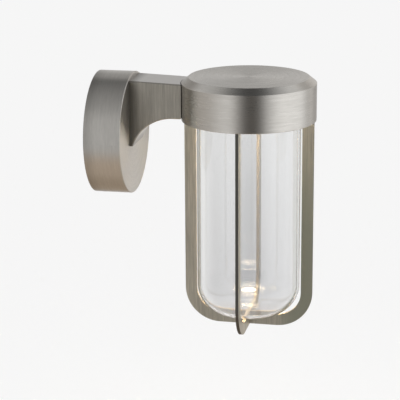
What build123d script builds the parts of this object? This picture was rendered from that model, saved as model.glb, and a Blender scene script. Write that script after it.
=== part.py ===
from build123d import *
import os
from math import cos, sin, sqrt, radians

os.makedirs("parts", exist_ok=True)

# Wall lamp, in millimetres. Origin: centre of the rose on the wall.
# +X is right seen from the front, +Y goes into the wall, +Z is up.

# Clearances
thread_gap = 0.05
fit_gap = 0.05
hole_gap = 0.10
tip_gap = 0.20
slip_gap = 0.30

# Driving dimensions of the wall side
rose_r = 50.0
rose_depth = 30.0
rose_wall = 2.0
rose_edge = 0.8
gasket_t = 1.0
gasket_inset = 0.7
plate_t = 1.5
plate_inset = 0.4
tab_reach = 12.0
tab_w = 12.0
top_tab_w = 10.0
tab_gap = 0.8
slot_pitch = 60.0
slot_len = 12.0
slot_w = 5.0
cable_r = 4.5
grommet_wall = 2.5
grommet_lip = 2.0
lip_round = 0.9
earth_inset = 17.6
washer_r = 4.2
washer_t = 0.8
set_angle = 20.0
set_y = 8.0
set_boss_r = 5.0
set_boss_deep = 5.2
set_edge = 0.4

# Driving dimensions of the arm
reach = 125.0
arm_w = 36.0
arm_fall = 1.6
arm_tip = 2.3
arm_arc_angle = 71.0
arm_neck = 4.5
arm_low_gap = 1.5
arm_top_gap = 0.4
arm_edge = 0.9
arm_bite = 12.0
screw_inset = 7.0
screw_drop = 14.5
seal_t = 0.5
seal_lip = 2.0
saddle_seal_t = 0.6
saddle_seal_inset = 0.7
lead_r = 2.5
lead_bend = 11.0
bend_past = 1.0
lead_rise = 8.5
channel_r = 6.0

# Driving dimensions of the glass, the cage and the cap
glass_r = 42.2
glass_wall = 1.8
glass_floor = 2.0
glass_len = 171.2
glass_corner = 24.0
flange_w = 3.8
flange_t = 4.0
cage_gap = 1.6
base_gap = 1.5
bar_w = 9.4
bar_t = 2.5
lug_gap = 1.0
cage_lug_w = 4.0
lug_stand = 0.7
corner_step = 4.0
ring_t = 3.0
low_gasket_t = 1.0
top_gasket_t = 1.5
cap_low = 14.5
cap_h = 35.0
cap_over = 1.3
cap_wall = 2.0
cap_roof = 2.5
chamfer_w = 5.9
chamfer_h = 4.7
cap_edge = 0.4
boss_wall = 2.0
boss_inset = 4.0
clamp_t = 5.4
clamp_lift = 2.5
clamp_side = 2.0

# Driving dimensions of the light source and the gear
tray_t = 4.0
tray_bite = 3.2
boss_bite = 10.0
board_t = 1.6
board_gap = 10.4
chip_t = 1.0
holder_w = 6.9
holder_t = 1.5
holder_inset = 7.0
holder_round = 0.6
driver_w = 36.0
driver_l = 40.0
driver_h = 13.0
driver_hole = 4.0
driver_corner = 3.0
driver_round = 1.0
lug_w = 9.0
lug_t = 2.0
led_wire_r = 0.8
led_wire_x = 3.0
wire_inset = 4.0
wire_end = 2.0
wire_bite = 1.0
solder_t = 0.7
block_w = 26.0
block_h = 12.0
block_deep = 15.0
block_gap = 1.0
block_corner = 1.5
lead_plug = 2.5
well_deep = 8.0
terminal_x = 7.5
terminal_r = 2.4
terminal_len = 4.0
terminal_slot = 0.7
terminal_slot_deep = 1.0
wire_hole_r = 1.8
wire_hole_deep = 9.0

# Screws: radius of the shank, radius and height of the head, radius of the key
m4_r = 2.0
m4_head_r = 3.5
m4_head_h = 2.6
m4_key_r = 1.5
m3_r = 1.5
m3_head_r = 2.75
m3_head_h = 2.0
m3_key_r = 1.2
m3_sunk_r = 2.6
m25_r = 1.25
m25_head_r = 2.3
m25_head_h = 1.4
m25_key_r = 0.9
key_share = 0.6
m4 = (m4_r, m4_head_r, m4_head_h, m4_key_r)
m3 = (m3_r, m3_head_r, m3_head_h, m3_key_r)
m25 = (m25_r, m25_head_r, m25_head_h, m25_key_r)

# Radii that follow
k45 = cos(radians(45))
glass_in = glass_r - glass_wall
glass_inner_corner = glass_corner - glass_wall
flange_r = glass_r + flange_w
bar_in = glass_r + cage_gap
bar_out = bar_in + bar_w
cap_r = bar_out + cap_over
inner_r = cap_r - cap_wall
lid_r = inner_r - slip_gap
ring_in = glass_r + 2 * slip_gap
lug_in = flange_r + lug_gap
lug_out = lug_in + cage_lug_w
ring_screw_r = (flange_r + lid_r) / 2
boss_r = m3_r + boss_wall
boss_at_r = flange_r - boss_inset
board_r = glass_in - board_gap
holder_r = board_r - holder_inset
holder_in = holder_r - holder_w
chip_r = holder_in - hole_gap
saddle_r = cap_r + saddle_seal_t
grommet_r = cable_r + grommet_wall
grommet_flange_r = grommet_r + grommet_lip
set_boss_in = rose_r - set_boss_deep
plate_tab_out = set_boss_in - tab_gap
top_tab_out = rose_r - rose_wall - 2 * slip_gap
plate_r = plate_tab_out - plate_inset
earth_z = earth_inset - plate_r

# Levels that follow, counted up from the cap's lower edge
cap_top = cap_low + cap_h
cap_rim = cap_top - chamfer_h
roof = cap_top - cap_roof
ring_top = cap_low + ring_t
flange_low = ring_top + low_gasket_t
flange_top = flange_low + flange_t
tray_low = flange_top + top_gasket_t
tray_top = tray_low + tray_t
board_low = tray_low - board_t
holder_low = board_low - holder_t
bar_top = cap_low - hole_gap
glass_low = flange_top - glass_len
cage_in_low = glass_low - base_gap
cage_low = cage_in_low - bar_w
lead_z = tray_top + lead_rise

# Depths that follow, counted out from the wall
rose_face = rose_depth - rose_wall
wire_run_y = reach + board_r - wire_inset
driver_mid = wire_run_y + wire_end - driver_l / 2
driver_end = driver_mid - driver_l / 2
lead_run_y = rose_face + bend_past - lead_bend
clamp_flat = reach - inner_r + clamp_t

# Where screws and wires sit
arm_screw_x = arm_w / 2 - screw_inset
ring_k = ring_screw_r * k45
lug_x = driver_w / 2 + lug_w / 2
holder_x = (holder_r + holder_in) / 2
boss_turns = [radians(a) for a in (30, 150, 270)]
rose_spots = [(x, z) for z in (lead_z - screw_drop, lead_z) for x in (-arm_screw_x, arm_screw_x)]
cap_spots = [(-arm_screw_x, lead_z), (arm_screw_x, lead_z)]
ring_spots = [(x, -reach + y) for x in (-ring_k, ring_k) for y in (-ring_k, ring_k)]
boss_spots = [(boss_at_r * cos(a), -reach + boss_at_r * sin(a)) for a in boss_turns]
lug_spots = [(-lug_x, -driver_mid), (lug_x, -driver_mid)]
holder_spots = [(-holder_x, -reach), (holder_x, -reach)]
wire_spots = [(-led_wire_x, -wire_run_y), (led_wire_x, -wire_run_y)]
block_top = lead_z - screw_drop - m4_head_r - block_gap
block_mid = block_top - block_h / 2
terminal_spots = [(-terminal_x, block_mid), (terminal_x, block_mid)]

# Screw lengths that follow from what they pass through
rose_screw_len = rose_wall + arm_bite
cap_screw_len = clamp_t + cap_wall + saddle_seal_t + arm_bite
boss_screw_len = tray_t + boss_bite

AXIS = Axis((0, -reach, 0), (0, 0, 1))
SIDE = Plane.XZ.offset(reach)


# Extrudes a disc at each spot, inside the open part
def posts(plane, spots, radius, length, mode=Mode.ADD):
    with BuildSketch(plane) as discs:
        with Locations(*spots):
            Circle(radius)
    extrude(discs.sketch, amount=length, mode=mode)


# Cuts a hexagon at each spot, inside the open part
def keys(plane, spots, radius, depth):
    with BuildSketch(plane) as hexagons:
        with Locations(*spots):
            RegularPolygon(radius, 6)
    extrude(hexagons.sketch, amount=depth, mode=Mode.SUBTRACT)


# Adds cap-head screws seated on a plane; side is 1 where the heads lie along its normal
def head_screws(seat, spots, screw, length, side):
    shank_r, head_r, head_h, key_r = screw
    posts(seat, spots, head_r, side * head_h)
    posts(seat, spots, shank_r, -side * length)
    keys(seat.offset(side * head_h), spots, key_r, -side * head_h * key_share)


# Adds a cone at each spot, wide at the level and as narrow as a shank above it
def sinks(level, spots, gap, mode=Mode.ADD):
    sink_h = m3_sunk_r - m3_r
    with Locations(*[(x, y, level + sink_h / 2) for x, y in spots]):
        Cone(m3_sunk_r + gap, m3_r + gap, sink_h, mode=mode)


# Adds countersunk screws that point up, their heads flush with the level
def sunk_screws(level, spots, length):
    sinks(level, spots, 0)
    posts(Plane.XY.offset(level), spots, m3_r, length)
    keys(Plane.XY.offset(level), spots, m3_key_r, m3_head_h * key_share)


# Cuts the two wall slots, inside the open sketch
def cut_slots():
    with Locations((-slot_pitch / 2, 0), (slot_pitch / 2, 0)):
        SlotOverall(slot_len, slot_w, mode=Mode.SUBTRACT)


# The plane across a set screw at a distance from the rose's centre
def set_plane(side, distance):
    x = side * sin(radians(set_angle))
    z = -cos(radians(set_angle))
    return Plane((x * distance, -set_y, z * distance), (0, 1, 0), (x, 0, z))


# Wall gasket
with BuildPart() as wall_gasket:
    with BuildSketch(Plane.XZ):
        Circle(plate_r - gasket_inset)
        cut_slots()
        Circle(grommet_flange_r + hole_gap, mode=Mode.SUBTRACT)
        with Locations((0, earth_z)):
            Circle(m4_r + slip_gap, mode=Mode.SUBTRACT)
    extrude(amount=gasket_t)
wall_gasket.part.label = "wall_gasket"
export_step(wall_gasket.part, "parts/wall_gasket.step")

# Wall plate: a disc with three tabs bent off the wall, the lower two for the set screws to press on
plate_tabs = [(90, top_tab_out, top_tab_w)]
for turn in (-90 - set_angle, -90 + set_angle):
    plate_tabs.append((turn, plate_tab_out, tab_w))
with BuildPart() as wall_plate:
    with BuildSketch(Plane.XZ.offset(gasket_t)):
        Circle(plate_r)
        with Locations((0, top_tab_out / 2)):
            Rectangle(top_tab_w, top_tab_out)
        cut_slots()
        Circle(grommet_r, mode=Mode.SUBTRACT)
        with Locations((0, earth_z)):
            Circle(m4_r + thread_gap, mode=Mode.SUBTRACT)
    extrude(amount=plate_t)
    with BuildSketch(Plane.XZ.offset(gasket_t)):
        for turn, tab_out, width in plate_tabs:
            tab_mid = tab_out - plate_t / 2
            with Locations((tab_mid * cos(radians(turn)), tab_mid * sin(radians(turn)))):
                Rectangle(plate_t, width, rotation=turn)
    extrude(amount=tab_reach)
wall_plate.part.label = "wall_plate"
export_step(wall_plate.part, "parts/wall_plate.step")

# Cable grommet in the plate's middle
with BuildPart() as cable_grommet:
    posts(Plane.XZ, [(0, 0)], grommet_flange_r, gasket_t)
    posts(Plane.XZ.offset(gasket_t), [(0, 0)], grommet_r - fit_gap, plate_t)
    posts(Plane.XZ.offset(gasket_t + plate_t), [(0, 0)], grommet_flange_r, grommet_lip)
    fillet(cable_grommet.faces().sort_by(Axis.Y)[0].outer_wire().edges(), radius=lip_round)
    posts(Plane.XZ, [(0, 0)], cable_r, gasket_t + plate_t + grommet_lip, Mode.SUBTRACT)
cable_grommet.part.label = "cable_grommet"
export_step(cable_grommet.part, "parts/cable_grommet.step")

# Earth screw with its washer, on the plate
with BuildPart() as earth_screw:
    posts(Plane.XZ.offset(gasket_t + plate_t), [(0, earth_z)], washer_r, washer_t)
    earth_seat = Plane.XZ.offset(gasket_t + plate_t + washer_t)
    head_screws(earth_seat, [(0, earth_z)], m4, washer_t + plate_t + gasket_t / 2, 1)
earth_screw.part.label = "earth_screw"
export_step(earth_screw.part, "parts/earth_screw.step")

# Wall rose: deep cup with two inner bosses for the set screws
with BuildPart() as wall_rose:
    posts(Plane.XZ, [(0, 0)], rose_r, rose_depth)
    fillet(wall_rose.faces().sort_by(Axis.Y)[0].outer_wire().edges(), radius=rose_edge)
    posts(Plane.XZ, [(0, 0)], rose_r - rose_wall, rose_face, Mode.SUBTRACT)
    for side in (-1, 1):
        posts(set_plane(side, set_boss_in), [(0, 0)], set_boss_r, rose_r - rose_wall / 2 - set_boss_in)
    tap_deep = rose_r - plate_r + rose_wall
    for side in (-1, 1):
        posts(set_plane(side, plate_r), [(0, 0)], m4_r + thread_gap, tap_deep, Mode.SUBTRACT)
    posts(Plane.XZ.offset(rose_face), rose_spots, m4_r + hole_gap, rose_wall, Mode.SUBTRACT)
    posts(Plane.XZ.offset(rose_face), [(0, lead_z)], channel_r, rose_wall, Mode.SUBTRACT)
    posts(Plane.XZ.offset(rose_face), [(0, block_mid)], m3_r + thread_gap, rose_wall, Mode.SUBTRACT)
wall_rose.part.label = "wall_rose"
export_step(wall_rose.part, "parts/wall_rose.step")

# Set screws, one node each because each one moves
set_tip = plate_tab_out + tip_gap
set_end = rose_r - tip_gap
for name, side in (("set_screw_left", -1), ("set_screw_right", 1)):
    with BuildPart() as set_screw:
        posts(set_plane(side, set_tip), [(0, 0)], m4_r, set_end - set_tip)
        chamfer(set_screw.edges(), length=set_edge)
        keys(set_plane(side, set_end), [(0, 0)], m3_key_r, -m3_head_h)
    set_screw.part.label = name
    export_step(set_screw.part, f"parts/{name}.step")

# Screws from inside the rose into the arm
with BuildPart() as rose_screws:
    head_screws(Plane.XZ.offset(rose_face), rose_spots, m4, rose_screw_len, -1)
rose_screws.part.label = "rose_screws"
export_step(rose_screws.part, "parts/rose_screws.step")

# Arm: side profile, saddle at the cap, channel for the lead, pocket for the seal at the root
arm_under = cap_low + arm_low_gap
arm_top_cap = cap_rim - arm_top_gap
arm_top_root = arm_top_cap + arm_fall
arm_turn = radians(arm_arc_angle)
tip_y = rose_depth + arm_tip
arc_y = reach - cap_r - arm_neck
arc_r = (arc_y - tip_y) / sin(arm_turn)
arc_z = arm_under - arc_r
arm_tip_z = arc_z + arc_r * cos(arm_turn)
bow_y = arc_y - arc_r * sin(arm_turn / 2)
bow_z = arc_z + arc_r * cos(arm_turn / 2)
arm_far = reach - cap_r / 2
arm_far_top = arm_top_root - arm_fall * (arm_far - rose_depth) / (reach - cap_r - rose_depth)
pocket_w = arm_w - 2 * seal_lip
pocket_h = arm_top_root - arm_tip_z - 2 * seal_lip
pocket_z = (arm_top_root + arm_tip_z) / 2
with BuildPart() as arm:
    with BuildSketch(Plane.YZ):
        with BuildLine():
            Polyline((-tip_y, arm_tip_z), (-rose_depth, arm_tip_z), (-rose_depth, arm_top_root),
                     (-arm_far, arm_far_top), (-arm_far, arm_under), (-arc_y, arm_under))
            ThreePointArc((-arc_y, arm_under), (-bow_y, bow_z), (-tip_y, arm_tip_z))
        make_face()
    extrude(amount=arm_w / 2, both=True)
    long_edges = arm.faces().filter_by(Axis.X).edges()
    long_edges = long_edges.filter_by(lambda e: -arm_far + fit_gap < e.center().Y < -rose_depth - fit_gap)
    chamfer(long_edges, arm_edge)
    posts(Plane.XY.offset(arm_tip_z), [(0, -reach)], saddle_r, arm_top_root - arm_tip_z, Mode.SUBTRACT)
    posts(Plane.XZ.offset(rose_depth), [(0, lead_z)], channel_r, reach - rose_depth, Mode.SUBTRACT)
    posts(Plane.XZ.offset(rose_depth), rose_spots, m4_r + thread_gap, rose_screw_len, Mode.SUBTRACT)
    cap_hole_deep = cap_screw_len + slip_gap
    posts(Plane.XZ.offset(clamp_flat), cap_spots, m4_r + thread_gap, -cap_hole_deep, Mode.SUBTRACT)
    with BuildSketch(Plane.XZ.offset(rose_depth)):
        with Locations((0, pocket_z)):
            Rectangle(pocket_w, pocket_h)
    extrude(amount=seal_t, mode=Mode.SUBTRACT)
arm.part.label = "arm"
export_step(arm.part, "parts/arm.step")

# Seal in the pocket of the arm's root
with BuildPart() as rose_seal:
    with BuildSketch(Plane.XZ.offset(rose_depth)):
        with Locations((0, pocket_z)):
            Rectangle(pocket_w - 2 * fit_gap, pocket_h - 2 * fit_gap)
    extrude(amount=seal_t)
    posts(Plane.XZ.offset(rose_depth), rose_spots, m4_r + hole_gap, seal_t, Mode.SUBTRACT)
    posts(Plane.XZ.offset(rose_depth), [(0, lead_z)], channel_r, seal_t, Mode.SUBTRACT)
rose_seal.part.label = "rose_seal"
export_step(rose_seal.part, "parts/rose_seal.step")

# Seal between arm and cap, bent to the cap's side
with BuildPart() as cap_seal:
    with BuildSketch(Plane.XY.offset(arm_under + saddle_seal_inset)):
        with Locations((0, -reach)):
            Circle(saddle_r)
            Circle(cap_r, mode=Mode.SUBTRACT)
        with Locations((0, -reach + cap_r)):
            Rectangle(arm_w - 2 * saddle_seal_inset, cap_r, mode=Mode.INTERSECT)
    extrude(amount=arm_top_cap - arm_under - 2 * saddle_seal_inset)
    posts(SIDE, cap_spots, m4_r + hole_gap, -reach, Mode.SUBTRACT)
    posts(SIDE, [(0, lead_z)], lead_r + 3 * slip_gap, -reach, Mode.SUBTRACT)
cap_seal.part.label = "cap_seal"
export_step(cap_seal.part, "parts/cap_seal.step")

# Cap: chamfered cup with eased edges and three bosses
cap_top_r = cap_r - chamfer_w
slant = sqrt(chamfer_w**2 + chamfer_h**2)
skin_r = cap_wall * chamfer_h / slant
skin_z = cap_wall * chamfer_w / slant
grade = chamfer_h / chamfer_w
in_rim = cap_rim - skin_z + (cap_wall - skin_r) * grade
in_top_r = cap_r - skin_r - (roof - cap_rim + skin_z) / grade
with BuildPart() as cap:
    with BuildSketch(SIDE):
        with BuildLine():
            Polyline((0, cap_top), (cap_top_r, cap_top), (cap_r, cap_rim), (cap_r, cap_low),
                     (inner_r, cap_low), (inner_r, in_rim), (in_top_r, roof), (0, roof), close=True)
        make_face()
    revolve(axis=AXIS)
    outer_edges = cap.edges().filter_by(GeomType.CIRCLE).filter_by(lambda e: e.radius > inner_r)
    fillet(outer_edges + cap.faces().sort_by(Axis.Z)[-1].edges(), radius=cap_edge)
    boss_hole_deep = boss_bite + m3_head_h
    posts(Plane.XY.offset(tray_top), boss_spots, boss_r, roof - tray_top + cap_roof / 2)
    posts(Plane.XY.offset(tray_top), boss_spots, m3_r + thread_gap, boss_hole_deep, Mode.SUBTRACT)
    posts(SIDE, cap_spots, m4_r + hole_gap, -reach, Mode.SUBTRACT)
    posts(SIDE, [(0, lead_z)], lead_r + 2 * slip_gap, -reach, Mode.SUBTRACT)
cap.part.label = "cap"
export_step(cap.part, "parts/cap.step")

# Clamp block inside the cap, flat on the screws' side
clamp_low = tray_top + clamp_lift
with BuildPart() as cap_clamp:
    with BuildSketch(Plane.XY.offset(clamp_low)):
        with Locations((0, -reach)):
            Circle(inner_r)
        with Locations((0, inner_r / 2 - clamp_flat)):
            Rectangle(arm_w - 2 * clamp_side, inner_r, mode=Mode.INTERSECT)
    extrude(amount=2 * (lead_z - clamp_low))
    posts(SIDE, cap_spots, m4_r + hole_gap, -reach, Mode.SUBTRACT)
    posts(SIDE, [(0, lead_z)], lead_r + hole_gap, -reach, Mode.SUBTRACT)
cap_clamp.part.label = "cap_clamp"
export_step(cap_clamp.part, "parts/cap_clamp.step")

# Screws through clamp and cap into the arm
with BuildPart() as cap_screws:
    head_screws(Plane.XZ.offset(clamp_flat), cap_spots, m4, cap_screw_len, 1)
cap_screws.part.label = "cap_screws"
export_step(cap_screws.part, "parts/cap_screws.step")

# Gear tray: heat spreader that closes the cap
with BuildPart() as gear_tray:
    posts(Plane.XY.offset(tray_low), [(0, -reach)], lid_r, tray_t)
    tapped = boss_spots + ring_spots + lug_spots
    posts(Plane.XY.offset(tray_low), tapped, m3_r + thread_gap, tray_t, Mode.SUBTRACT)
    posts(Plane.XY.offset(tray_low), wire_spots, led_wire_r + slip_gap, tray_t, Mode.SUBTRACT)
    posts(Plane.XY.offset(tray_low), holder_spots, m25_r + thread_gap, tray_t, Mode.SUBTRACT)
    sinks(tray_low, boss_spots, thread_gap, Mode.SUBTRACT)
gear_tray.part.label = "gear_tray"
export_step(gear_tray.part, "parts/gear_tray.step")

# Screws that hold the tray to the cap's bosses
with BuildPart() as tray_screws:
    sunk_screws(tray_low, boss_spots, boss_screw_len)
tray_screws.part.label = "tray_screws"
export_step(tray_screws.part, "parts/tray_screws.step")

# Driver with two lugs
with BuildPart() as driver:
    with BuildSketch(Plane.XY.offset(tray_top)):
        with Locations((0, -driver_mid)):
            RectangleRounded(driver_w, driver_l, driver_corner)
    extrude(amount=driver_h)
    fillet(driver.faces().sort_by(Axis.Z)[-1].outer_wire().edges(), radius=driver_round)
    with BuildSketch(Plane.XY.offset(tray_top)):
        with Locations((0, -driver_mid)):
            SlotOverall(2 * lug_x + lug_w, lug_w)
    extrude(amount=lug_t)
    posts(Plane.XY.offset(tray_top), lug_spots, m3_r + hole_gap, lug_t, Mode.SUBTRACT)
    posts(Plane.XY.offset(tray_top), wire_spots, led_wire_r + fit_gap, wire_bite, Mode.SUBTRACT)
    posts(Plane.XZ.offset(driver_end), [(0, lead_z)], lead_r + fit_gap, driver_hole, Mode.SUBTRACT)
driver.part.label = "driver"
export_step(driver.part, "parts/driver.step")

with BuildPart() as driver_screws:
    head_screws(Plane.XY.offset(tray_top + lug_t), lug_spots, m3, lug_t + tray_bite, 1)
driver_screws.part.label = "driver_screws"
export_step(driver_screws.part, "parts/driver_screws.step")

# Lead from the terminal block through the arm to the driver
lead_start = block_top - lead_plug
bend_k = lead_bend * (1 - k45)
with BuildPart() as driver_lead:
    with BuildLine():
        Line((0, -lead_run_y, lead_start), (0, -lead_run_y, lead_z - lead_bend))
        ThreePointArc((0, -lead_run_y, lead_z - lead_bend), (0, -lead_run_y - bend_k, lead_z - bend_k),
                      (0, -lead_run_y - lead_bend, lead_z))
        Line((0, -lead_run_y - lead_bend, lead_z), (0, -driver_end - driver_hole, lead_z))
    with BuildSketch(Plane.XY.offset(lead_start)):
        with Locations((0, -lead_run_y)):
            Circle(lead_r)
    sweep()
driver_lead.part.label = "driver_lead"
export_step(driver_lead.part, "parts/driver_lead.step")

# Terminal block inside the rose, its wells on the wall's side
block_front = rose_face - block_deep
screw_well = 2 * m3_head_h
block_seat = block_front + screw_well
wire_in_y = -block_front - well_deep - terminal_r
wire_holes = [(-terminal_x, wire_in_y), (terminal_x, wire_in_y)]
with BuildPart() as terminal_block:
    with BuildSketch(Plane.XZ.offset(block_front)):
        with Locations((0, block_mid)):
            RectangleRounded(block_w, block_h, block_corner)
    extrude(amount=block_deep)
    posts(Plane.XZ.offset(block_front), terminal_spots, terminal_r, well_deep, Mode.SUBTRACT)
    posts(Plane.XZ.offset(block_seat), [(0, block_mid)], m3_head_r + slip_gap, -screw_well, Mode.SUBTRACT)
    posts(Plane.XZ.offset(block_front), [(0, block_mid)], m3_r + hole_gap, block_deep, Mode.SUBTRACT)
    posts(Plane.XY.offset(block_top - block_h), wire_holes, wire_hole_r, wire_hole_deep, Mode.SUBTRACT)
    posts(Plane.XY.offset(lead_start), [(0, -lead_run_y)], lead_r + fit_gap, lead_plug, Mode.SUBTRACT)
terminal_block.part.label = "terminal_block"
export_step(terminal_block.part, "parts/terminal_block.step")

with BuildPart() as terminal_screws:
    terminal_top = Plane.XZ.offset(block_front + well_deep - terminal_len)
    posts(terminal_top, terminal_spots, terminal_r, terminal_len)
    with BuildSketch(terminal_top):
        with Locations(*terminal_spots):
            Rectangle(3 * terminal_r, terminal_slot)
    extrude(amount=terminal_slot_deep, mode=Mode.SUBTRACT)
terminal_screws.part.label = "terminal_screws"
export_step(terminal_screws.part, "parts/terminal_screws.step")

with BuildPart() as block_screw:
    head_screws(Plane.XZ.offset(block_seat), [(0, block_mid)], m3, rose_depth - block_seat, -1)
block_screw.part.label = "block_screw"
export_step(block_screw.part, "parts/block_screw.step")

# Light source under the tray: board, chip, holder with its screws, wires up to the driver
with BuildPart() as led_board:
    posts(Plane.XY.offset(board_low), [(0, -reach)], board_r, board_t)
    posts(Plane.XY.offset(board_low), wire_spots, led_wire_r + fit_gap, board_t, Mode.SUBTRACT)
    posts(Plane.XY.offset(board_low), holder_spots, m25_r + hole_gap, board_t, Mode.SUBTRACT)
led_board.part.label = "led_board"
export_step(led_board.part, "parts/led_board.step")

with BuildPart() as led_chip:
    posts(Plane.XY.offset(board_low), [(0, -reach)], chip_r, -chip_t)
led_chip.part.label = "led_chip"
export_step(led_chip.part, "parts/led_chip.step")

with BuildPart() as led_holder:
    posts(Plane.XY.offset(board_low), [(0, -reach)], holder_r, -holder_t)
    fillet(led_holder.faces().sort_by(Axis.Z)[0].outer_wire().edges(), radius=holder_round)
    posts(Plane.XY.offset(board_low), [(0, -reach)], holder_in, -holder_t, Mode.SUBTRACT)
    posts(Plane.XY.offset(board_low), holder_spots, m25_r + hole_gap, -holder_t, Mode.SUBTRACT)
led_holder.part.label = "led_holder"
export_step(led_holder.part, "parts/led_holder.step")

with BuildPart() as holder_screws:
    head_screws(Plane.XY.offset(holder_low), holder_spots, m25, tray_low - holder_low + tray_bite, -1)
holder_screws.part.label = "holder_screws"
export_step(holder_screws.part, "parts/holder_screws.step")

with BuildPart() as led_wires:
    posts(Plane.XY.offset(board_low), wire_spots, led_wire_r, tray_top - board_low + wire_bite)
    posts(Plane.XY.offset(board_low), wire_spots, led_wire_r + solder_t, -solder_t)
led_wires.part.label = "led_wires"
export_step(led_wires.part, "parts/led_wires.step")

# Glass jar with a flange and a rounded base
floor_z = glass_low + glass_floor
outer_bow = glass_corner * (1 - k45)
inner_bow = glass_inner_corner * (1 - k45)
with BuildPart() as glass:
    with BuildSketch(SIDE):
        with BuildLine():
            Polyline((0, floor_z), (0, glass_low), (glass_r - glass_corner, glass_low))
            ThreePointArc((glass_r - glass_corner, glass_low), (glass_r - outer_bow, glass_low + outer_bow),
                          (glass_r, glass_low + glass_corner))
            Polyline((glass_r, glass_low + glass_corner), (glass_r, flange_low),
                     (flange_r, flange_low), (flange_r, flange_top), (glass_in, flange_top),
                     (glass_in, floor_z + glass_inner_corner))
            ThreePointArc((glass_in, floor_z + glass_inner_corner),
                          (glass_in - inner_bow, floor_z + inner_bow),
                          (glass_in - glass_inner_corner, floor_z))
            Line((glass_in - glass_inner_corner, floor_z), (0, floor_z))
        make_face()
    revolve(axis=AXIS)
glass.part.label = "glass"
export_step(glass.part, "parts/glass.step")

with BuildPart() as glass_gasket_top:
    posts(Plane.XY.offset(flange_top), [(0, -reach)], flange_r, top_gasket_t)
    posts(Plane.XY.offset(flange_top), [(0, -reach)], glass_in + slip_gap, top_gasket_t, Mode.SUBTRACT)
glass_gasket_top.part.label = "glass_gasket_top"
export_step(glass_gasket_top.part, "parts/glass_gasket_top.step")

with BuildPart() as glass_gasket_low:
    posts(Plane.XY.offset(ring_top), [(0, -reach)], flange_r, low_gasket_t)
    posts(Plane.XY.offset(ring_top), [(0, -reach)], ring_in, low_gasket_t, Mode.SUBTRACT)
glass_gasket_low.part.label = "glass_gasket_low"
export_step(glass_gasket_low.part, "parts/glass_gasket_low.step")

# Ring that carries the cage plates and holds the glass flange up
lug_mid = (lug_in + lug_out) / 2
lug_long = lug_out - lug_in + 2 * fit_gap
lug_wide = bar_t + 2 * fit_gap
with BuildPart() as cage_ring:
    with BuildSketch(Plane.XY.offset(cap_low)):
        with Locations((0, -reach)):
            Circle(lid_r)
            Circle(ring_in, mode=Mode.SUBTRACT)
        with Locations((0, -reach + lug_mid), (0, -reach - lug_mid)):
            Rectangle(lug_wide, lug_long, mode=Mode.SUBTRACT)
        with Locations((lug_mid, -reach), (-lug_mid, -reach)):
            Rectangle(lug_long, lug_wide, mode=Mode.SUBTRACT)
    extrude(amount=ring_t)
    posts(Plane.XY.offset(cap_low), ring_spots, m3_r + hole_gap, ring_t, Mode.SUBTRACT)
    sinks(cap_low, ring_spots, thread_gap, Mode.SUBTRACT)
cage_ring.part.label = "cage_ring"
export_step(cage_ring.part, "parts/cage_ring.step")

with BuildPart() as ring_screws:
    sunk_screws(cap_low, ring_spots, tray_top - cap_low - slip_gap)
ring_screws.part.label = "ring_screws"
export_step(ring_screws.part, "parts/ring_screws.step")

# Cage plates: U-shaped, on edge, with lugs up into the ring, halved into each other under the glass
in_corner = glass_corner - corner_step
out_corner = in_corner + bar_w
corner_z = cage_low + out_corner
flat_u = bar_out - out_corner
out_k = out_corner * k45
in_k = in_corner * k45
lug_top = ring_top + lug_stand
half_z = cage_low + bar_w / 2


# Adds a plate with the U outline, from a plane through the glass's axis
def cage_plate(plane):
    with BuildSketch(plane) as outline:
        with BuildLine():
            for side in (-1, 1):
                Polyline((side * bar_in, corner_z), (side * bar_in, bar_top), (side * lug_in, bar_top),
                         (side * lug_in, lug_top), (side * lug_out, lug_top), (side * lug_out, bar_top),
                         (side * bar_out, bar_top), (side * bar_out, corner_z))
                ThreePointArc((side * bar_out, corner_z), (side * (flat_u + out_k), corner_z - out_k),
                              (side * flat_u, cage_low))
                ThreePointArc((side * bar_in, corner_z), (side * (flat_u + in_k), corner_z - in_k),
                              (side * flat_u, cage_in_low))
            Line((-flat_u, cage_low), (flat_u, cage_low))
            Line((-flat_u, cage_in_low), (flat_u, cage_in_low))
        make_face()
    extrude(outline.sketch, amount=bar_t / 2, both=True)


with BuildPart() as cage_plate_along:
    cage_plate(Plane((0, -reach, 0), (0, 1, 0), (1, 0, 0)))
    with Locations((0, -reach, half_z + bar_w / 2)):
        Box(2 * bar_t, lug_wide, bar_w, mode=Mode.SUBTRACT)
cage_plate_along.part.label = "cage_plate_along"
export_step(cage_plate_along.part, "parts/cage_plate_along.step")

with BuildPart() as cage_plate_across:
    cage_plate(SIDE)
    with Locations((0, -reach, half_z - bar_w / 2)):
        Box(lug_wide, 2 * bar_t, bar_w, mode=Mode.SUBTRACT)
cage_plate_across.part.label = "cage_plate_across"
export_step(cage_plate_across.part, "parts/cage_plate_across.step")
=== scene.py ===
# Industrial wall lamp: materials, glass jar, floor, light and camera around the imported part, in metres
import math

import bpy
from mathutils import Matrix, Vector


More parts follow.
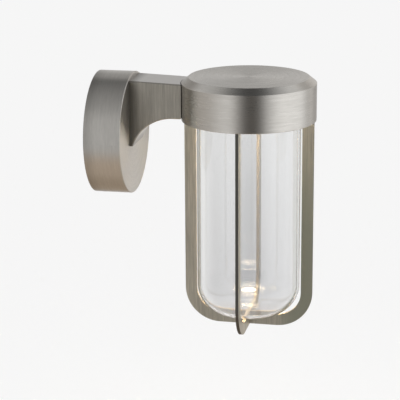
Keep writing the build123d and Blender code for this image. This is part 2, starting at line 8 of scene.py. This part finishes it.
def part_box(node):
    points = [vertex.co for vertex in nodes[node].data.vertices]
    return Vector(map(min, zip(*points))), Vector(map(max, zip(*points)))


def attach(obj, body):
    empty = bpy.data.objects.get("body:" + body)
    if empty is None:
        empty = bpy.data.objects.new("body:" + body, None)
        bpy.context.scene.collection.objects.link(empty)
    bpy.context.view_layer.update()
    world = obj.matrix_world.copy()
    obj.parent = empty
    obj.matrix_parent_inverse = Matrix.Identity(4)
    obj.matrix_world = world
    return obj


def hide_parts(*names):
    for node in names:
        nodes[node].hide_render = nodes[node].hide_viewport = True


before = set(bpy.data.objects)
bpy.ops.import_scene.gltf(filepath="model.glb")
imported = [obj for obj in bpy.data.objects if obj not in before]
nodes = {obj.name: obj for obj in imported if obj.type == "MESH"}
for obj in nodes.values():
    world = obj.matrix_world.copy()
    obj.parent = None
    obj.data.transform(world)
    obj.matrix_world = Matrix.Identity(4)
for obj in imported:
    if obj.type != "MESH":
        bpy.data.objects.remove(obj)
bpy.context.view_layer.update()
scene = bpy.context.scene
scene.view_settings.view_transform = "Standard"

# Camera, fitted to the photograph: its place, the axes of the picture, and the lens in millimetres
EYE = Vector((-1.22612, -0.34616, 0.29151))
RIGHT = Vector((0.207147, -0.978287, -0.006626))
UP = Vector((0.262141, 0.048979, 0.963786))
AHEAD = Vector((0.942535, 0.201382, -0.266596))
FOCAL_MM, SENSOR_MM = 142.17, 36.0

# Axes of the frame, and the upright axis of cap, jar and cage
X_AXIS, Y_AXIS, Z_AXIS = Vector((1, 0, 0)), Vector((0, 1, 0)), Vector((0, 0, 1))
ORIGIN = Vector((0, 0, 0))
cap_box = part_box("cap")
AXIS = Vector(((cap_box[0][0] + cap_box[1][0]) / 2, (cap_box[0][1] + cap_box[1][1]) / 2, 0.0))

BLACK, WHITE = (0.0, 0.0, 0.0, 1.0), (1.0, 1.0, 1.0, 1.0)


# Small helpers for node trees: an input is a number, a colour, a vector or another node's socket

def put(tree, node, key, value):
    socket = node.inputs[key]
    if isinstance(value, bpy.types.NodeSocket):
        tree.links.new(value, socket)
    else:
        socket.default_value = value


def add(tree, kind, settings=None, inputs=None):
    node = tree.nodes.new(kind)
    for key, value in (settings or {}).items():
        setattr(node, key, value)
    for key, value in (inputs or {}).items():
        put(tree, node, key, value)
    return node


def math_node(tree, operation, a, b=0.0, c=0.0):
    return add(tree, "ShaderNodeMath", {"operation": operation}, {0: a, 1: b, 2: c}).outputs[0]


def times(tree, a, b):
    return math_node(tree, "MULTIPLY", a, b)


def vector_node(tree, operation, a, b):
    return add(tree, "ShaderNodeVectorMath", {"operation": operation}, {0: a, 1: b})


def dot(tree, a, b):
    return vector_node(tree, "DOT_PRODUCT", a, b).outputs["Value"]


# Most of a noise's values lie between the start and the end given here
def remap(tree, value, low, high, start=0.3, end=0.7):
    limits = {"Value": value, "From Min": start, "From Max": end, "To Min": low, "To Max": high}
    return add(tree, "ShaderNodeMapRange", None, limits).outputs["Result"]


def smooth(tree, value, start, end):
    limits = {"Value": value, "From Min": start, "From Max": end}
    return add(tree, "ShaderNodeMapRange", {"interpolation_type": "SMOOTHSTEP"}, limits).outputs["Result"]


# The colour mode of the mix node has its factor, colours and result at these places
def blend(tree, factor, a, b):
    return add(tree, "ShaderNodeMix", {"data_type": "RGBA"}, {0: factor, 6: a, 7: b}).outputs[2]


NOISE_ROUGHNESS = 0.55


def noise(tree, vector, scale, detail):
    inputs = {"Vector": vector, "Scale": scale, "Detail": detail, "Roughness": NOISE_ROUGHNESS}
    return add(tree, "ShaderNodeTexNoise", None, inputs).outputs["Fac"]


def tinted(tree, colour, factor, spread):
    dark = [channel * (1.0 - spread) for channel in colour] + [1.0]
    light = [min(1.0, channel * (1.0 + spread)) for channel in colour] + [1.0]
    return blend(tree, factor, dark, light)


def place_of(tree):
    return add(tree, "ShaderNodeTexCoord").outputs["Object"]


def normal_of(tree):
    return add(tree, "ShaderNodeTexCoord").outputs["Normal"]


# 0 where the surface faces the eye, 1 where it turns away
def facing_of(tree):
    return add(tree, "ShaderNodeLayerWeight").outputs["Facing"]


def seen_by_eye(tree, path):
    return math_node(tree, "MAXIMUM", path["Is Camera Ray"], path["Is Transmission Ray"])


def bumped(tree, shader, height, strength, distance):
    inputs = {"Height": height, "Strength": strength, "Distance": distance}
    bump = add(tree, "ShaderNodeBump", None, inputs)
    put(tree, shader, "Normal", bump.outputs["Normal"])


def part_clear(tree, shader, output, factor, colour):
    clear = add(tree, "ShaderNodeBsdfTransparent", None, {"Color": colour})
    mix = add(tree, "ShaderNodeMixShader", None, {0: factor, 1: shader.outputs[0], 2: clear.outputs[0]})
    put(tree, output, "Surface", mix.outputs[0])


def new_material(name):
    material = bpy.data.materials.new(name)
    material.use_nodes = True
    tree = material.node_tree
    tree.nodes.clear()
    shader = tree.nodes.new("ShaderNodeBsdfPrincipled")
    output = tree.nodes.new("ShaderNodeOutputMaterial")
    put(tree, output, "Surface", shader.outputs["BSDF"])
    return material, tree, shader, output


# Grain coordinates: metres in, stretched along the brushing

GRAIN_PER_RADIAN = 0.0030
GRAIN_UPRIGHT = (1.0, 1.0, 0.03)


def turned_grain(centre, axis):
    def grain(tree):
        local = vector_node(tree, "SUBTRACT", place_of(tree), centre).outputs[0]
        x, y, z = add(tree, "ShaderNodeSeparateXYZ", None, {"Vector": local}).outputs
        across, other, along = (x, y, z) if axis == "Z" else (x, z, y)
        squares = math_node(tree, "ADD", times(tree, across, across), times(tree, other, other))
        radius = math_node(tree, "SQRT", squares)
        turn = times(tree, math_node(tree, "ARCTAN2", other, across), GRAIN_PER_RADIAN)
        return add(tree, "ShaderNodeCombineXYZ", None, {"X": radius, "Y": along, "Z": turn}).outputs[0]
    return grain


def straight_grain(stretch):
    return lambda tree: vector_node(tree, "MULTIPLY", place_of(tree), stretch).outputs[0]


# Tangents: the way that the brushing spreads a highlight

def round_tangent(axis):
    settings = {"direction_type": "RADIAL", "axis": axis}
    return lambda tree: add(tree, "ShaderNodeTangent", settings).outputs[0]


def flat_tangent(x, y, z):
    return lambda tree: add(tree, "ShaderNodeCombineXYZ", None, {"X": x, "Y": y, "Z": z}).outputs[0]


# Brushed metal: fine and broad streaks in colour, roughness and bump

FINE_SCALE, FINE_DETAIL, FINE_SHARE = 2600.0, 2.0, 0.55
BROAD_SCALE, BROAD_DETAIL, BROAD_SHARE = 620.0, 3.0, 0.45
STREAK_BUMP, STREAK_DEPTH = 0.35, 0.00002
ROUGH_SWING = 0.05


def brushed(name, colour, grain, tangent, rough=0.30, aniso=0.55, turn=0.0, spread=0.10):
    material, tree, shader, _ = new_material(name)
    vector = grain(tree)
    fine = times(tree, noise(tree, vector, FINE_SCALE, FINE_DETAIL), FINE_SHARE)
    broad = times(tree, noise(tree, vector, BROAD_SCALE, BROAD_DETAIL), BROAD_SHARE)
    streak = math_node(tree, "ADD", fine, broad)
    put(tree, shader, "Base Color", tinted(tree, colour, remap(tree, streak, 0.0, 1.0), spread))
    put(tree, shader, "Roughness", remap(tree, streak, rough + ROUGH_SWING, rough - ROUGH_SWING))
    put(tree, shader, "Metallic", 1.0)
    put(tree, shader, "Anisotropic", aniso)
    put(tree, shader, "Anisotropic Rotation", turn)
    put(tree, shader, "Tangent", tangent(tree))
    bumped(tree, shader, streak, STREAK_BUMP, STREAK_DEPTH)
    return material


# Plain materials with a little mottling

MOTTLE_DETAIL, MOTTLE_BUMP, MOTTLE_DEPTH = 4.0, 0.3, 0.00003


def plain(name, colour, rough, metallic=0.0, scale=900.0, spread=0.06):
    material, tree, shader, _ = new_material(name)
    mottle = noise(tree, place_of(tree), scale, MOTTLE_DETAIL)
    put(tree, shader, "Base Color", tinted(tree, colour, remap(tree, mottle, 0.0, 1.0), spread))
    put(tree, shader, "Roughness", remap(tree, mottle, rough - ROUGH_SWING, rough + ROUGH_SWING))
    put(tree, shader, "Metallic", metallic)
    bumped(tree, shader, mottle, MOTTLE_BUMP, MOTTLE_DEPTH)
    return material


# Another tone over part of a material: painted light and painted shade, and the darker outer cut edges

def recolour(material, factor, colour):
    tree = material.node_tree
    shader = tree.nodes["Principled BSDF"]
    skin = shader.inputs["Base Color"].links[0].from_socket
    put(tree, shader, "Base Color", blend(tree, factor, skin, (*colour, 1.0)))


# The tone changes along one axis, from one place to another
def zone(material, axis, start, end, share=1.0):
    tree = material.node_tree
    along = add(tree, "ShaderNodeSeparateXYZ", None, {"Vector": place_of(tree)}).outputs[axis]
    return times(tree, smooth(tree, along, start, end), share)


# Sides of a plate that don't face along its normal
RIM_COSINES = (0.8, 0.4)


def rim_of(material, normal):
    tree = material.node_tree
    along = math_node(tree, "ABSOLUTE", dot(tree, normal_of(tree), normal))
    return smooth(tree, along, *RIM_COSINES)


# Cut edges of a cage plate: darker outside, and inside a matt strip that catches the source's light, with
# a pale warm colour that is painted light.
# The matt share, and with it the painted light, is low on upright parts, grows where the edge slopes, and
# falls a little on level parts
OUTER_EDGE, INNER_EDGE_PAINTED_LIGHT = (0.13, 0.127, 0.115), (0.55, 0.455, 0.34)
EDGE_BAND, EDGE_BUMP = 0.004, 0.04
MATT_UPRIGHT, MATT_MORE, MATT_LESS = 0.085, 0.62, -0.10
SLOPING, LEVEL = (0.0, 0.30), (0.65, 0.98)


def cut_edges(material, normal, middle):
    tree = material.node_tree
    shader = tree.nodes["Principled BSDF"]
    rim = rim_of(material, normal)
    inward = vector_node(tree, "SUBTRACT", middle, place_of(tree)).outputs[0]
    towards = dot(tree, normal_of(tree), inward)
    inner = times(tree, smooth(tree, towards, -EDGE_BAND, EDGE_BAND), rim)
    recolour(material, rim, OUTER_EDGE)
    recolour(material, inner, INNER_EDGE_PAINTED_LIGHT)
    put(tree, tree.nodes["Bump"], "Strength", remap(tree, rim, STREAK_BUMP, EDGE_BUMP, 0.0, 1.0))
    upward = dot(tree, normal_of(tree), Z_AXIS)
    matt = math_node(tree, "MULTIPLY_ADD", smooth(tree, upward, *SLOPING), MATT_MORE, MATT_UPRIGHT)
    matt = math_node(tree, "MULTIPLY_ADD", smooth(tree, upward, *LEVEL), MATT_LESS, matt)
    put(tree, shader, "Metallic", math_node(tree, "SUBTRACT", 1.0, times(tree, inner, matt)))


STEEL, ARM_STEEL, BAR_STEEL = (0.60, 0.585, 0.555), (0.455, 0.43, 0.38), (0.50, 0.463, 0.385)
QUARTER_TURN = 0.25
cap_metal = brushed("steel_turned_cap", STEEL, turned_grain(AXIS, "Z"), round_tangent("Z"),
                    turn=QUARTER_TURN)
rose_metal = brushed("steel_turned_rose", STEEL, turned_grain(ORIGIN, "Y"), round_tangent("Y"),
                     rough=0.32, aniso=0.64, turn=QUARTER_TURN)
arm_metal = brushed("steel_arm", ARM_STEEL, straight_grain(GRAIN_UPRIGHT), flat_tangent(0, 1, 0),
                    rough=0.40, aniso=0.75, spread=0.24)
along_metal, across_metal = (
    brushed(name, BAR_STEEL, straight_grain(GRAIN_UPRIGHT), flat_tangent(1, 1, 0),
            rough=0.36, aniso=0.75, spread=0.32)
    for name in ("steel_bar_along", "steel_bar_across"))

# Arm: painted light, paler on top and below, and painted shade, darker in the corner at the rose
ARM_PAINTED_LIGHT, ARM_PAINTED_SHADE = (0.64, 0.635, 0.625), (0.05, 0.045, 0.04)
CORNER_LENGTH, CORNER_SHARE = 0.010, 0.6
recolour(arm_metal, rim_of(arm_metal, X_AXIS), ARM_PAINTED_LIGHT)
arm_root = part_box("arm")[1][1]
arm_corner_shade = zone(arm_metal, "Y", arm_root - CORNER_LENGTH, arm_root, CORNER_SHARE)
recolour(arm_metal, arm_corner_shade, ARM_PAINTED_SHADE)

# Rose: painted shade, darker at the wall
WALL_PAINTED_SHADE, WALL_LENGTH, WALL_SHARE = (0.10, 0.095, 0.085), 0.011, 0.28
wall_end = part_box("wall_rose")[1][1]
recolour(rose_metal, zone(rose_metal, "Y", wall_end - WALL_LENGTH, wall_end, WALL_SHARE), WALL_PAINTED_SHADE)

# Rose face: painted light, a little paler towards one side, and painted shade, darker towards the other
FACE_PAINTED_LIGHT, FACE_PAINTED_SHADE = (0.69, 0.66, 0.615), (0.45, 0.44, 0.418)
FACE_COSINES, FACE_REACH, FACE_SHARE = (0.80, 0.95), 0.9, 0.75
tree = rose_metal.node_tree
face = smooth(tree, dot(tree, normal_of(tree), -Y_AXIS), *FACE_COSINES)
rose_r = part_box("wall_rose")[1][0]
for edge, tone in ((-rose_r, FACE_PAINTED_LIGHT), (rose_r, FACE_PAINTED_SHADE)):
    half = zone(rose_metal, "X", 0.0, edge * FACE_REACH, FACE_SHARE)
    recolour(rose_metal, times(tree, face, half), tone)

# Bars: painted shade, darker on the lower half of the outer leg, with cut edges all round
LEG_PAINTED_SHADE = (0.37, 0.37, 0.295)
LEG_START, LEG_END = 0.020, 0.040
PAINTED_SHADE_FROM, PAINTED_SHADE_TO = 0.030, -0.080
outer_leg = zone(along_metal, "Y", AXIS.y - LEG_START, AXIS.y - LEG_END)
low_half = zone(along_metal, "Z", PAINTED_SHADE_FROM, PAINTED_SHADE_TO)
recolour(along_metal, times(along_metal.node_tree, outer_leg, low_half), LEG_PAINTED_SHADE)
jar_middle = Vector((AXIS.x, AXIS.y, sum(corner[2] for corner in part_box("glass")) / 2))
cut_edges(along_metal, X_AXIS, jar_middle)
cut_edges(across_metal, Y_AXIS, jar_middle)

# Cap: painted shade, darker where its side turns away
TURNED_AWAY, SIDE_COSINES, LIMB_SHADE = (0.58, 0.80), (0.5, 0.2), 0.48
tree = cap_metal.node_tree
turned = smooth(tree, facing_of(tree), *TURNED_AWAY)
upward = math_node(tree, "ABSOLUTE", dot(tree, normal_of(tree), Z_AXIS))
limb = times(tree, turned, smooth(tree, upward, *SIDE_COSINES))
recolour(cap_metal, times(tree, limb, LIMB_SHADE), (0.0, 0.0, 0.0))

screw_metal = plain("steel_screw", (0.50, 0.50, 0.50), 0.32, metallic=1.0)
zinc_metal = plain("zinc_plate", (0.62, 0.63, 0.64), 0.36, metallic=1.0, scale=400.0, spread=0.10)
soft_metal = plain("aluminium", (0.72, 0.73, 0.74), 0.38, metallic=1.0, scale=500.0)
brass_metal = plain("brass", (0.78, 0.62, 0.30), 0.30, metallic=1.0)
black_rubber = plain("rubber_black", (0.03, 0.03, 0.03), 0.65, scale=1500.0, spread=0.2)
grey_rubber = plain("rubber_grey", (0.09, 0.085, 0.075), 0.6, scale=1500.0, spread=0.2)
clear_rubber = plain("rubber_clear", (0.72, 0.72, 0.70), 0.45)
white_plastic = plain("plastic_white", (0.80, 0.80, 0.78), 0.42)
# The holder's and the board's materials glow below as painted light, though they are no lamps
holder_painted_glow = plain("plastic_white_painted_glow", (0.80, 0.80, 0.78), 0.42)
board_painted_glow = plain("board_white", (0.86, 0.86, 0.84), 0.35)
grey_sheath = plain("cable_grey", (0.30, 0.30, 0.31), 0.5)
red_sheath = plain("cable_red", (0.55, 0.10, 0.08), 0.4)
phosphor = plain("phosphor", (0.95, 0.80, 0.40), 0.5)

# Light source: warm, strongest straight down, with the holder as a darker ring between chip and board.
# Only the chip is a lamp: the glow of the board and the holder is painted light
WARM = (1.0, 0.82, 0.56, 1.0)
for material, strength in ((phosphor, 240.0), (holder_painted_glow, 20.0), (board_painted_glow, 120.0)):
    tree = material.node_tree
    shader = tree.nodes["Principled BSDF"]
    beam = math_node(tree, "SUBTRACT", 1.0, facing_of(tree))
    put(tree, shader, "Emission Color", WARM)
    put(tree, shader, "Emission Strength", times(tree, beam, strength))

DRESS = {
    "cap": cap_metal, "cage_ring": cap_metal, "wall_rose": rose_metal, "arm": arm_metal,
    "cage_plate_along": along_metal, "cage_plate_across": across_metal, "wall_plate": zinc_metal,
    "wall_gasket": black_rubber, "cable_grommet": black_rubber, "rose_seal": black_rubber,
    "cap_seal": grey_rubber, "glass_gasket_top": clear_rubber, "glass_gasket_low": clear_rubber,
    "earth_screw": brass_metal, "terminal_screws": brass_metal, "cap_clamp": soft_metal,
    "gear_tray": soft_metal, "driver": white_plastic, "terminal_block": white_plastic,
    "led_holder": holder_painted_glow, "led_board": board_painted_glow, "led_chip": phosphor,
    "driver_lead": grey_sheath, "led_wires": red_sheath,
}
for name, piece in nodes.items():
    piece.data.materials.clear()
    piece.data.materials.append(DRESS.get(name, screw_metal))


# Glass jar: the same profile as the solid, turned in fine steps

TURN_STEPS, CORNER_STEPS, EDGE_STEPS = 192, 24, 4
SHARP_DEG = 35
ON_AXIS = 1e-9


def arc(centre, radius, start, end, steps):
    points = []
    for i in range(steps + 1):
        angle = math.radians(start + (end - start) * i / steps)
        points.append((centre[0] + radius * math.cos(angle), centre[1] + radius * math.sin(angle)))
    return points


def lathe(name, profile, centre, steps):
    rings = []
    points = []
    faces = []
    for r, z in profile:
        if r < ON_AXIS:
            rings.append([len(points)] * steps)
            points.append((centre.x, centre.y, z))
        else:
            rings.append(list(range(len(points), len(points) + steps)))
            for i in range(steps):
                angle = 2 * math.pi * i / steps
                points.append((centre.x + r * math.cos(angle), centre.y + r * math.sin(angle), z))
    for low, high in zip(rings, rings[1:]):
        for i in range(steps):
            j = (i + 1) % steps
            corners = [low[i], low[j], high[j], high[i]]
            faces.append([c for k, c in enumerate(corners) if c not in corners[:k]])
    mesh = bpy.data.meshes.new(name)
    mesh.from_pydata(points, [], faces)
    for polygon in mesh.polygons:
        polygon.use_smooth = True
    mesh.set_sharp_from_angle(angle=math.radians(SHARP_DEG))
    piece = bpy.data.objects.new(name, mesh)
    scene.collection.objects.link(piece)
    return piece


glass_low, glass_high = (corner[2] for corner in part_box("glass"))
glass_out, glass_in = 0.0422, 0.0404
corner_out, corner_in = 0.024, 0.0222
base_t = 0.002
flange_r, flange_t, edge_r = 0.046, 0.004, 0.0004
inside_low = glass_low + base_t
flange_low = glass_high - flange_t
profile = [(0.0, glass_low)]
profile += arc((glass_out - corner_out, glass_low + corner_out), corner_out, -90, 0, CORNER_STEPS)
profile += [(glass_out, flange_low - edge_r)]
profile += [(flange_r - edge_r, flange_low)]
profile += arc((flange_r - edge_r, flange_low + edge_r), edge_r, -90, 0, EDGE_STEPS)
profile += arc((flange_r - edge_r, glass_high - edge_r), edge_r, 0, 90, EDGE_STEPS)
profile += arc((glass_in + edge_r, glass_high - edge_r), edge_r, 90, 180, EDGE_STEPS)
profile += arc((glass_in - corner_in, inside_low + corner_in), corner_in, 0, -90, CORNER_STEPS)
profile += [(0.0, inside_low)]
jar = lathe("glass_jar", profile, AXIS, TURN_STEPS)

# Glass: a deeper tint towards the base and a darker patch where it faces the eye low down, both painted
# shade, a paler tone towards the edges as painted light, and a dark line of painted shade at the outline.
# It bends light less than real glass does, and a coat adds the reflections of the source
CLEAR_TINT, DEEP_TINT_PAINTED_SHADE, TINT_SPREAD = (0.897, 0.899, 0.90), (0.80, 0.80, 0.806), 0.01
EDGE_PAINTED_LIGHT = (0.985, 0.985, 0.98, 1.0)
OUTLINE_SHADE_HIGH, OUTLINE_SHADE_LOW = (0.65, 0.65, 0.64, 1.0), (0.15, 0.15, 0.145, 1.0)
HEAD_ON, EDGE_ON, OUTLINE, COATED = (0.06, 0.01), (0.25, 0.60), (0.73, 0.85), (0.46, 0.32)
HEAD_ON_SHADE, LOW_COAT = 0.18, 0.8
BODY_IOR, COAT_IOR = 1.2, 1.9
WAVE_SCALE, WAVE_DETAIL, WAVE_BUMP, WAVE_DEPTH = 45.0, 1.0, 0.015, 0.0002
SHADOW_TINT = (0.85, 0.86, 0.86, 1.0)
ONE_OR_MORE, TWO_OR_MORE = 0.5, 1.5  # limits between the whole numbers of a ray's depth

material, tree, shader, output = new_material("glass_clear")
place = place_of(tree)
wave = noise(tree, place, WAVE_SCALE, WAVE_DETAIL)
height = add(tree, "ShaderNodeSeparateXYZ", None, {"Vector": place}).outputs["Z"]
depth = remap(tree, height, 0.0, 1.0, 0.0, glass_low)
facing = facing_of(tree)
clear_tint = tinted(tree, CLEAR_TINT, wave, TINT_SPREAD)
deep_painted_shade = tinted(tree, DEEP_TINT_PAINTED_SHADE, wave, TINT_SPREAD)
tint = blend(tree, depth, clear_tint, deep_painted_shade)
head_on = times(tree, smooth(tree, facing, *HEAD_ON), depth)
tint = blend(tree, times(tree, head_on, HEAD_ON_SHADE), tint, BLACK)
tint = blend(tree, smooth(tree, facing, *EDGE_ON), tint, EDGE_PAINTED_LIGHT)
line = blend(tree, depth, OUTLINE_SHADE_HIGH, OUTLINE_SHADE_LOW)
put(tree, shader, "Base Color", blend(tree, smooth(tree, facing, *OUTLINE), tint, line))
put(tree, shader, "Roughness", 0.0)
put(tree, shader, "IOR", BODY_IOR)
put(tree, shader, "Transmission Weight", 1.0)
rounding = smooth(tree, height, glass_low + corner_out, glass_low + corner_out / 4)
low_coat = times(tree, rounding, LOW_COAT)
put(tree, shader, "Coat Weight", math_node(tree, "MAXIMUM", smooth(tree, facing, *COATED), low_coat))
put(tree, shader, "Coat Roughness", 0.0)
put(tree, shader, "Coat IOR", COAT_IOR)
bumped(tree, shader, wave, WAVE_BUMP, WAVE_DEPTH)

# Light goes straight through for shadows and after two reflections, or three at the base
path = add(tree, "ShaderNodeLightPath").outputs
low = smooth(tree, height, glass_low + 2 * corner_out, glass_low + corner_out)
deep = math_node(tree, "GREATER_THAN", path["Glossy Depth"], math_node(tree, "ADD", low, TWO_OR_MORE))
part_clear(tree, shader, output, math_node(tree, "MAXIMUM", path["Is Shadow Ray"], deep), SHADOW_TINT)
jar.data.materials.append(material)
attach(jar, "lamp")
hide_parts("glass")

# Floor: pale, keeps the shadow, not seen in the metal; clear from below, so that the underside shows
FLOOR_SIZE, FLOOR_PLACE = 14.0, (2.0, 0.0, -0.30)
FLOOR_COLOUR, FLOOR_GLOW = (0.07, 0.07, 0.07), 0.888
SPECKLE_SCALE, SPECKLE_DETAIL, SPECKLE_SPREAD = 40.0, 3.0, 0.01
bpy.ops.mesh.primitive_plane_add(size=FLOOR_SIZE, location=FLOOR_PLACE)
floor = bpy.context.object
floor.name = "floor"
floor.visible_glossy = False
material, tree, shader, output = new_material("floor_pale")
speckle = noise(tree, place_of(tree), SPECKLE_SCALE, SPECKLE_DETAIL)
put(tree, shader, "Base Color", tinted(tree, FLOOR_COLOUR, speckle, SPECKLE_SPREAD))
put(tree, shader, "Roughness", 0.9)
put(tree, shader, "Specular IOR Level", 0.0)
path = add(tree, "ShaderNodeLightPath").outputs
put(tree, shader, "Emission Color", WHITE)
put(tree, shader, "Emission Strength", times(tree, seen_by_eye(tree, path), FLOOR_GLOW))
part_clear(tree, shader, output, add(tree, "ShaderNodeNewGeometry").outputs["Backfacing"], WHITE)
floor.data.materials.append(material)

# World: a light tent, bright at the sides and darker along the camera's own plane
world = bpy.data.worlds.new("tent")
scene.world = world
world.use_nodes = True
tree = world.node_tree
tree.nodes.clear()
way = add(tree, "ShaderNodeTexCoord").outputs["Generated"]


# The stops lie between -1 and 1. A curved ramp ends at level 1, so it holds half the level
def ramp(tree, value, stops):
    centred = math_node(tree, "MULTIPLY_ADD", value, 0.5, 0.5)
    node = add(tree, "ShaderNodeValToRGB", None, {"Fac": centred})
    node.color_ramp.interpolation = "B_SPLINE"
    while len(node.color_ramp.elements) < len(stops):
        node.color_ramp.elements.new(0.5)
    for element, (spot, colour) in zip(node.color_ramp.elements, stops):
        element.position = spot * 0.5 + 0.5
        element.color = (*(channel / 2 for channel in colour), 1.0)
    double = {"Scale": 2.0, 0: node.outputs["Color"]}
    return add(tree, "ShaderNodeVectorMath", {"operation": "SCALE"}, double).outputs[0]


def grey(level, warm=0.0):
    return (level * (1 + warm), level, level * (1 - warm))


# Level directions to the right of the picture and towards the camera
TENT_RIGHT, TENT_NEAR = Vector((0.207, -0.978, 0.0)), Vector((-0.978, -0.207, 0.0))
across = dot(tree, way, TENT_RIGHT)
nearer = dot(tree, way, TENT_NEAR)
height = dot(tree, way, Z_AXIS)
near_half = ramp(tree, across, [
    (-1.0, grey(0.47, 0.07)), (-0.85, grey(0.66, 0.02)), (-0.60, grey(1.02)), (-0.42, grey(0.64, 0.02)),
    (-0.26, grey(0.24)), (-0.10, grey(0.07)), (0.14, grey(0.05)), (0.30, grey(0.16)),
    (0.48, grey(0.68)), (0.68, grey(1.06)), (0.85, grey(1.28)), (1.0, grey(1.10)),
])
far_half = ramp(tree, across, [
    (-1.0, grey(0.54, 0.10)), (-0.40, grey(0.31, 0.04)), (0.0, grey(0.66)),
    (0.45, grey(0.70, 0.07)), (1.0, grey(0.60)),
])

# The seam between the halves leans back towards the top and comes nearer on the right
SEAM, SEAM_LEAN, SEAM_SKEW = (-0.15, -0.55), 0.5, -0.12
above = math_node(tree, "MAXIMUM", height, 0.0)
leaning = math_node(tree, "MULTIPLY_ADD", times(tree, above, above), SEAM_LEAN, nearer)
leaning = math_node(tree, "MULTIPLY_ADD", across, SEAM_SKEW, leaning)
behind = smooth(tree, leaning, *SEAM)

# Shade under the roof at the back, and on the left of the roof
ROOF, EAVES, LEFT = (0.50, 0.84), (0.22, 0.55), (0.10, -0.40)
EAVES_SHADE, ROOF_SHADE = 0.34, 0.24
roof = smooth(tree, height, *ROOF)
eaves = math_node(tree, "SUBTRACT", smooth(tree, height, *EAVES), roof)
eaves = times(tree, times(tree, eaves, behind), EAVES_SHADE)
left_roof = times(tree, roof, smooth(tree, across, *LEFT))
shade = math_node(tree, "MULTIPLY_ADD", left_roof, ROOF_SHADE, eaves)
tent = blend(tree, shade, blend(tree, behind, near_half, far_half), BLACK)

# Warm ground
GROUND_NEAR, GROUND_FAR = (0.56, 0.46, 0.37, 1.0), (0.43, 0.345, 0.265, 1.0)
GROUND_SEAM, HORIZON = (0.25, -0.20), (-0.32, -0.80)
ground = blend(tree, smooth(tree, nearer, *GROUND_SEAM), GROUND_NEAR, GROUND_FAR)
tent = blend(tree, smooth(tree, height, *HORIZON), tent, ground)

# Pale backdrop: seen by the eye, by reflections in a cone behind the lamp, and by light that has been
# through the glass and has two reflections or more
PALE = 0.932
CONE_OUTER_DEG, CONE_INNER_DEG = 18, 8
cone_cosines = (math.cos(math.radians(angle)) for angle in (CONE_OUTER_DEG, CONE_INNER_DEG))
cone = smooth(tree, dot(tree, way, AHEAD), *cone_cosines)
path = add(tree, "ShaderNodeLightPath").outputs
inside = times(tree, math_node(tree, "GREATER_THAN", path["Glossy Depth"], TWO_OR_MORE),
               math_node(tree, "GREATER_THAN", path["Transmission Depth"], ONE_OR_MORE))
mirrored = times(tree, path["Is Glossy Ray"], cone)
seen = math_node(tree, "MAXIMUM", seen_by_eye(tree, path), mirrored)
seen = math_node(tree, "MAXIMUM", inside, seen)
whole = blend(tree, seen, tent, (PALE, PALE, PALE, 1.0))
sky = add(tree, "ShaderNodeBackground", None, {"Color": whole, "Strength": 1.0})
add(tree, "ShaderNodeOutputWorld", None, {"Surface": sky.outputs[0]})

# Camera at the photograph's angle
lens = bpy.data.cameras.new("camera")
lens.sensor_fit = "HORIZONTAL"
lens.sensor_width = SENSOR_MM
lens.lens = FOCAL_MM
camera = bpy.data.objects.new("camera", lens)
turn = Matrix((RIGHT, UP, -AHEAD)).transposed()
camera.matrix_world = Matrix.Translation(EYE) @ turn.to_4x4()
scene.collection.objects.link(camera)
scene.camera = camera
